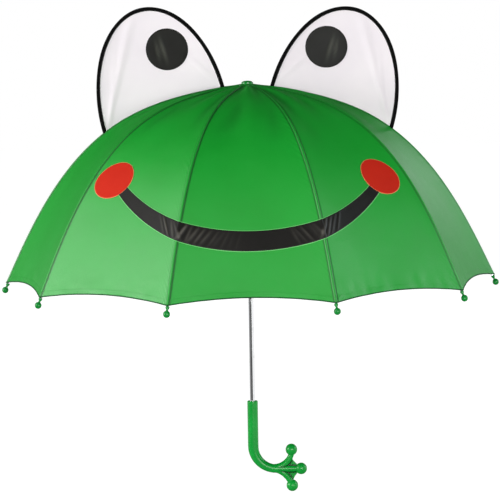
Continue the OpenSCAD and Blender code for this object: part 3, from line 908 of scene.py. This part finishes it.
def eye_pupil(side):
    """The pupil's round patch, which lies on the eye's cloth with two soft wrinkles and a painted highlight
    on their crests.
    """
    low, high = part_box(f"pupil_{side}")
    cx = abs(low.x + high.x) / 2
    cz = (low.z + high.z) / 2
    t = np.linspace(0, 2 * math.pi, 96, endpoint=False)
    f = np.array([0.02, 0.1, 0.2, 0.3, 0.4, 0.5, 0.6, 0.7, 0.78, 0.86, 0.92, 0.955, 0.985, 1.0])[:, None]
    lift = np.array([0.55] * 10 + [0.6, 0.75, 0.6, 0.1])[:, None] * MM
    x = cx + PUPIL_R * f * np.cos(t)
    z = cz + PUPIL_R * 0.985 * f * np.sin(t)
    on = eye_folds(side, x, z) - EYE_CLOTH_HALF
    wrinkle = 0.5 * MM * bump_at(x, cx + 6 * MM + 0.3 * (z - cz), 3 * MM) * bump_at(z, cz, 16 * MM)
    beside = bump_at(x, cx + 14 * MM + 0.2 * (z - cz), 2.5 * MM) * bump_at(z, cz - 2 * MM, 13 * MM)
    wrinkle = (wrinkle + 0.4 * MM * beside) * (1 - f ** 4)
    piece = patch(f"pupil_patch_{side}", eye_place(side, x, z, on - lift - wrinkle),
                  eye_place(side, x, z, on - 0.02 * MM), PUPIL_CLOTH, np.stack([x, z], -1))
    # Painted highlight on the wrinkles' crests, on the front face only.
    painted_highlight = wrinkle.ravel() / (0.5 * MM)
    painted_light_attribute(piece, np.concatenate([painted_highlight, 0 * painted_highlight]))
    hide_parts(f"pupil_{side}")
    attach(piece, EYE_BODY[side])
    return piece


def eye(side):
    piece, flat, area = eye_cloth(side)
    piping = eye_piping(side)
    pupil = eye_pupil(side)


for side in ("right", "left"):
    eye(side)


# ---- Mouth and cheeks
def across_of(i, degrees):
    """Place across rib i's panel at an azimuth in degrees."""
    turn = degrees - math.degrees(azimuth(i))
    turn = (turn + 180) % 360 - 180
    return turn / math.degrees(HALF)


def mouth_edge(which, degrees):
    middle, fall = MOUTH[which]
    return middle - fall * degrees ** 2


def mouth_puckers(degrees, f):
    """Folds where the band crosses the seams at azimuth 18, running across it and leaning."""
    height = 0
    draw = np.random.RandomState(12)
    for seam, strength, count in ((-18.0, 1.0, 14), (18.0, 0.6, 9)):
        inward = 1 if seam < 0 else -1
        for k in range(count):
            beyond = k - 3.4
            place = seam + inward * (beyond * 1.55 + draw.uniform(-0.4, 0.4))
            lean = inward * draw.uniform(1.6, 3.4) * (1 if beyond > 0 else -1)
            high = draw.uniform(0.5, 1.0) * strength * math.exp(-abs(beyond) / 8.0) * 1.9 * MM
            height = height + high * bump_at(degrees, place + lean * (0.5 - f), draw.uniform(0.40, 0.62))
    return height * np.sin(np.clip(f, 0, 1) * math.pi) ** 0.5


def grid_normals(points, outward):
    normal = np.cross(np.gradient(points, axis=0), np.gradient(points, axis=1))
    normal /= np.linalg.norm(normal, axis=-1, keepdims=True)
    return normal * np.sign((normal * outward).sum(-1, keepdims=True))


def mouth_threads(name, i, degrees, across):
    threads = []
    for which, edge in enumerate(("top", "bottom")):
        line, _ = cloth(i, mouth_edge(which, degrees), across, 0.15 * MM)
        thread = tube(f"{name}_thread_{edge}", line, 0.42 * MM, LIGHT_THREAD, 8)
        fold_with_rib(thread, i)
        threads.append(thread)
    return threads


def mouth_piece(name, i, start, end, cad):
    """The band from one azimuth to another, on rib i's gore. cad is the node it stands for, if any."""
    cols = max(int(abs(end - start) / 0.28), 16)
    degrees = np.linspace(start, end, cols)[None, :]
    f = np.concatenate([[0, 0.02, 0.05, 0.09], np.linspace(0.14, 0.86, 16), [0.91, 0.95, 0.98, 1]])[:, None]
    s = mouth_edge(0, degrees) * (1 - f) + mouth_edge(1, degrees) * f
    across = np.broadcast_to(across_of(i, degrees), s.shape)
    edge = np.minimum(f, 1 - f)
    high = 0.25 * MM + 0.45 * MM * smoothstep(0, 0.05, edge) + 0.15 * MM * bump_at(edge, 0.05, 0.03)
    puckers = mouth_puckers(np.broadcast_to(degrees, s.shape), np.broadcast_to(f, s.shape))
    outer, normal = cloth(i, s, across, high + puckers)
    inner, _ = cloth(i, s, across, 0.08 * MM)
    uv = np.stack([across * half_chord(s), s], -1)
    piece = shell(name, outer, inner, BLACK_SATIN, uv, grid_normals(outer, normal))
    # Painted highlight on the puckers' crests, on the outer face only.
    painted_highlight = np.clip(puckers.ravel() / (1.3 * MM), 0, 1) ** 2
    painted_light_attribute(piece, np.concatenate([painted_highlight, 0 * painted_highlight]))
    if cad:
        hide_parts(cad)
    fold_with_rib(piece, i)
    threads = mouth_threads(name, i, degrees[0], across[0])


GORE_END = 36.0                            # azimuth where the two front gores end, in degrees
mouth_piece("mouth_band_right", 1, 0.0, GORE_END, "mouth_right")
mouth_piece("mouth_band_left", 10, 0.0, -GORE_END, "mouth_left")
mouth_piece("mouth_end_right", 2, GORE_END, MOUTH_END, None)
mouth_piece("mouth_end_left", 9, -GORE_END, -MOUTH_END, None)


CHEEK_RIB = {"right": 2, "left": 9}


def cheek(side):
    i = CHEEK_RIB[side]
    s0, half_w, half_h = CHEEK

    def oval(f, t):
        """Place down and across the cloth, at a share f of the way to the edge."""
        middle = across_of(i, CHEEK_AZIMUTH[side])
        return s0 + half_h * f * np.cos(t), middle + SIGN[side] * half_w * f * np.sin(t) / half_chord(s0)

    f = np.array([0.02, 0.12, 0.24, 0.36, 0.48, 0.6, 0.7, 0.8, 0.88, 0.93, 0.965, 0.99, 1.0])[:, None]
    lift = np.array([0.95] * 8 + [1.0, 1.1, 1.1, 0.8, 0.3])[:, None] * MM
    s, across = oval(f, np.linspace(0, 2 * math.pi, 96, endpoint=False))
    outer, _ = cloth(i, s, across, lift)
    inner, _ = cloth(i, s, across, 0.1 * MM)
    piece = patch(f"cheek_patch_{side}", outer, inner, RED_CLOTH, np.stack([across * half_chord(s), s], -1))
    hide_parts(f"cheek_{side}")
    fold_with_rib(piece, i)
    line, _ = cloth(i, *oval(1, np.linspace(0, 2 * math.pi, 100)), 0.4 * MM)
    thread = tube(f"cheek_thread_{side}", line, 0.38 * MM, ORANGE_THREAD, 8)
    fold_with_rib(thread, i)


for side in ("right", "left"):
    cheek(side)


# ---- Tie strap, at the back
STRAP_RIB = 5
STRAP_START = 318 * MM
STRAP_END = RIB_LEN - 14 * MM
STRAP_W = 12 * MM
STRAP_T = 0.9 * MM
STRAP_UP = CLOTH_UP + 1.2 * MM             # the strap's inner face over the rib's middle line
SNAP_AT = 330 * MM


def strap_snap():
    r, z = rib_point(SNAP_AT, STRAP_UP + STRAP_T)
    slope = float(np.interp(SNAP_AT, S_TABLE, SLOPE_TABLE))
    way = rib_vector(STRAP_RIB, math.sin(slope), math.cos(slope))
    profile = [(4.4 * MM, 0), (4.5 * MM, 0.4 * MM), (4.2 * MM, 1.0 * MM), (3.0 * MM, 1.4 * MM),
               (2.6 * MM, 1.1 * MM), (1.2 * MM, 1.1 * MM), (POLE_R, 1.2 * MM)]
    place = turned(way, rib_vector(STRAP_RIB, float(r), float(z)))
    return lathe("strap_snap", profile, STEEL, place, 32)


def tie_strap():
    s = np.linspace(STRAP_START, STRAP_END, 60)[:, None]
    y = np.linspace(-STRAP_W / 2, STRAP_W / 2, 9)[None, :]
    ripple = 0.5 * MM * np.sin(s * 90) * smoothstep(0.33, 0.36, s)
    a = azimuth(STRAP_RIB)

    def face(up):
        r, z = rib_point(s, up)
        x = r * math.sin(a) + y * math.cos(a)
        return np.stack([x, -r * math.cos(a) + y * math.sin(a), z + 0 * y], -1)

    uv = np.stack([y + 0 * s, s + 0 * y], -1)
    piece = shell("strap", face(STRAP_UP + STRAP_T + ripple), face(STRAP_UP + ripple), STRAP_CLOTH, uv)
    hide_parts("tie_strap")
    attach(piece, f"rib_{STRAP_RIB:02d}")
    snap = strap_snap()
    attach(snap, f"rib_{STRAP_RIB:02d}")


tie_strap()


# ---- The frame's own parts keep their shape and get finishes
def finish_node(name, material):
    obj = frame["nodes"][name]
    obj.data.materials.clear()
    obj.data.materials.append(material)


for i in range(1, RIBS + 1):
    finish_node(f"rib_{i:02d}", STEEL)
    finish_node(f"stretcher_{i:02d}", STEEL)
for name, material in (("shaft", CHROME), ("top_notch", STEEL), ("notch_wire", WIRE),
                       ("runner", RUNNER_PLASTIC), ("runner_wire", WIRE), ("top_spring", SPRING),
                       ("bottom_spring", SPRING)):
    finish_node(name, material)


# ---- Studio
FLOOR_SEEN = 1.0                           # brightness of the floor in the picture
FLOOR_LIGHT = 0.5                          # and as a light
BAND = 0.22                                # light from just over the horizon
DOME = 0.02                                # light from everywhere
UNDER = 0.85                               # the floor as shiny parts see it
DARK_UNDER = (-0.64, -0.77, 0)             # the side where they see none


def map_range(nodes, links, source, given, wanted):
    made = nodes.new("ShaderNodeMapRange")
    made.interpolation_type = "SMOOTHSTEP"
    links.new(source, made.inputs["Value"])
    for socket, value in zip(("From Min", "From Max", "To Min", "To Max"), given + wanted):
        made.inputs[socket].default_value = value
    return made.outputs[0]


def floor():
    half = 14.0
    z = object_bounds()[0].z - 0.2 * MM
    mesh = bpy.data.meshes.new("floor")
    corners = [(-half, -half, z), (half, -half, z), (half, half, z), (-half, half, z)]
    mesh.from_pydata(corners, [], [(0, 1, 2, 3)])
    obj = bpy.data.objects.new("floor", mesh)
    bpy.context.scene.collection.objects.link(obj)
    material, nodes, links, shader = new_material("pale_floor")
    shader.inputs["Base Color"].default_value = (0.10, 0.10, 0.10, 1)
    shader.inputs["Roughness"].default_value = 0.9
    shader.inputs["Specular IOR Level"].default_value = 0.0
    shader.inputs["Emission Color"].default_value = (1, 1, 1, 1)
    seen = nodes.new("ShaderNodeLightPath")
    links.new(map_range(nodes, links, seen.outputs["Is Camera Ray"], (0, 1), (FLOOR_LIGHT, FLOOR_SEEN)),
              shader.inputs["Emission Strength"])
    mesh.materials.append(material)
    obj.visible_glossy = False             # shiny parts see glow_below instead
    obj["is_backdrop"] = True


def area_light(name, place, target, size, power, colour=(1, 1, 1)):
    data = bpy.data.lights.new(name, "AREA")
    data.shape = "RECTANGLE"
    data.size, data.size_y = size
    data.energy = power
    data.color = colour
    obj = bpy.data.objects.new(name, data)
    bpy.context.scene.collection.objects.link(obj)
    obj.location = place
    obj.rotation_euler = (Vector(target) - Vector(place)).to_track_quat("-Z", "Y").to_euler()
    obj.visible_camera = False
    return obj


def calculate(nodes, links, operation, *values):
    made = node(nodes, "ShaderNodeMath", operation=operation)
    for socket, value in zip(made.inputs, values):
        if isinstance(value, bpy.types.NodeSocket):
            links.new(value, socket)
        else:
            socket.default_value = value
    return made.outputs[0]


def glow_below(nodes, links, way, height):
    """A white floor for shiny parts, up to just over the horizon and dark to one side."""
    front = node(nodes, "ShaderNodeVectorMath", operation="DOT_PRODUCT")
    links.new(way, front.inputs[0])
    front.inputs[1].default_value = DARK_UNDER
    glow = map_range(nodes, links, height, (-0.01, 0.03), (UNDER, 0.0))
    near = map_range(nodes, links, height, (-0.30, -0.22), (0.0, 1.0))
    aside = map_range(nodes, links, front.outputs["Value"], (0.36, 0.60), (1.0, 0.0))
    return calculate(nodes, links, "MULTIPLY", calculate(nodes, links, "MULTIPLY", glow, near), aside)


def world():
    """White behind the object. Its light comes from low down, at the sides."""
    made = bpy.data.worlds.new("studio")
    bpy.context.scene.world = made
    made.use_nodes = True
    nodes, links = made.node_tree.nodes, made.node_tree.links
    seen = nodes.new("ShaderNodeLightPath")
    way = nodes.new("ShaderNodeTexCoord")
    parts = nodes.new("ShaderNodeSeparateXYZ")
    links.new(way.outputs["Generated"], parts.inputs[0])
    band = map_range(nodes, links, parts.outputs["Z"], (0.10, 0.42), (BAND, 0.0))
    across = calculate(nodes, links, "ABSOLUTE", parts.outputs["X"])
    aside = map_range(nodes, links, across, (0.30, 0.75), (0.12, 1.0))
    under = glow_below(nodes, links, way.outputs["Generated"], parts.outputs["Z"])
    glow = calculate(nodes, links, "ADD", calculate(nodes, links, "MULTIPLY", band, aside), under)
    glow = calculate(nodes, links, "ADD", glow, DOME)
    back = nodes["Background"]
    back.inputs["Color"].default_value = (1, 1, 1, 1)
    links.new(glow, back.inputs["Strength"])
    white = nodes.new("ShaderNodeBackground")
    white.inputs["Strength"].default_value = 1.0
    white.inputs["Color"].default_value = (1, 1, 1, 1)
    both = nodes.new("ShaderNodeMixShader")
    links.new(seen.outputs["Is Camera Ray"], both.inputs[0])
    links.new(back.outputs[0], both.inputs[1])
    links.new(white.outputs[0], both.inputs[2])
    links.new(both.outputs[0], nodes["World Output"].inputs["Surface"])


def camera():
    """The eye is level with the top of the canopy, and far back."""
    rim_z = HINGE_Z - 289 * MM
    distance = 2.98
    height = math.radians(5.9)
    pitch = math.radians(4.9)
    side = math.radians(0.2)
    roll = math.radians(-0.95)
    data = bpy.data.cameras.new("camera")
    data.lens = 148.4
    data.sensor_width = 36
    data.dof.use_dof = False
    obj = bpy.data.objects.new("camera", data)
    bpy.context.scene.collection.objects.link(obj)
    level = Vector((math.sin(side), math.cos(side), 0))
    obj.location = Vector((0, 0, rim_z + distance * math.sin(height))) - level * distance * math.cos(height)
    look = level * math.cos(pitch) - Vector((0, 0, math.sin(pitch)))
    turn = look.to_track_quat("-Z", "Y").to_matrix().to_4x4() @ Matrix.Rotation(roll, 4, "Z")
    obj.rotation_euler = turn.to_euler()
    data.clip_end = 100
    bpy.context.scene.camera = obj


world()
camera()
AIM = (0, 0, 0.35)


def soft_box(name, azimuth_degrees, elevation_degrees, distance, size, share, colour=(1, 1, 1)):
    """Light round AIM, whose irradiance over pi on a surface that faces it is share."""
    a, e = math.radians(azimuth_degrees), math.radians(elevation_degrees)
    way = Vector((math.cos(e) * math.sin(a), -math.cos(e) * math.cos(a), math.sin(e)))
    power = share * (math.pi * distance) ** 2
    return area_light(name, Vector(AIM) + distance * way, AIM, size, power, colour)


soft_box("key_low", -78, 6, 2.6, (1.8, 0.8), 0.64)
soft_box("key_high", -72, 32, 2.6, (1.8, 1.1), 0.35)
soft_box("front_low", 12, 2, 3.0, (2.0, 0.8), 0.68)
soft_box("front_high", 5, 40, 2.8, (1.2, 0.8), 0.08)
soft_box("side", 98, 14, 2.6, (1.0, 1.2), 0.34, (0.86, 0.95, 1.0))
soft_box("rim", 142, 16, 2.8, (1.2, 0.8), 0.06, (0.92, 0.97, 1.0))
soft_box("back", 184, 14, 3.0, (1.6, 1.2), 0.55).visible_glossy = False
floor()
bpy.context.scene.view_settings.view_transform = "Standard"
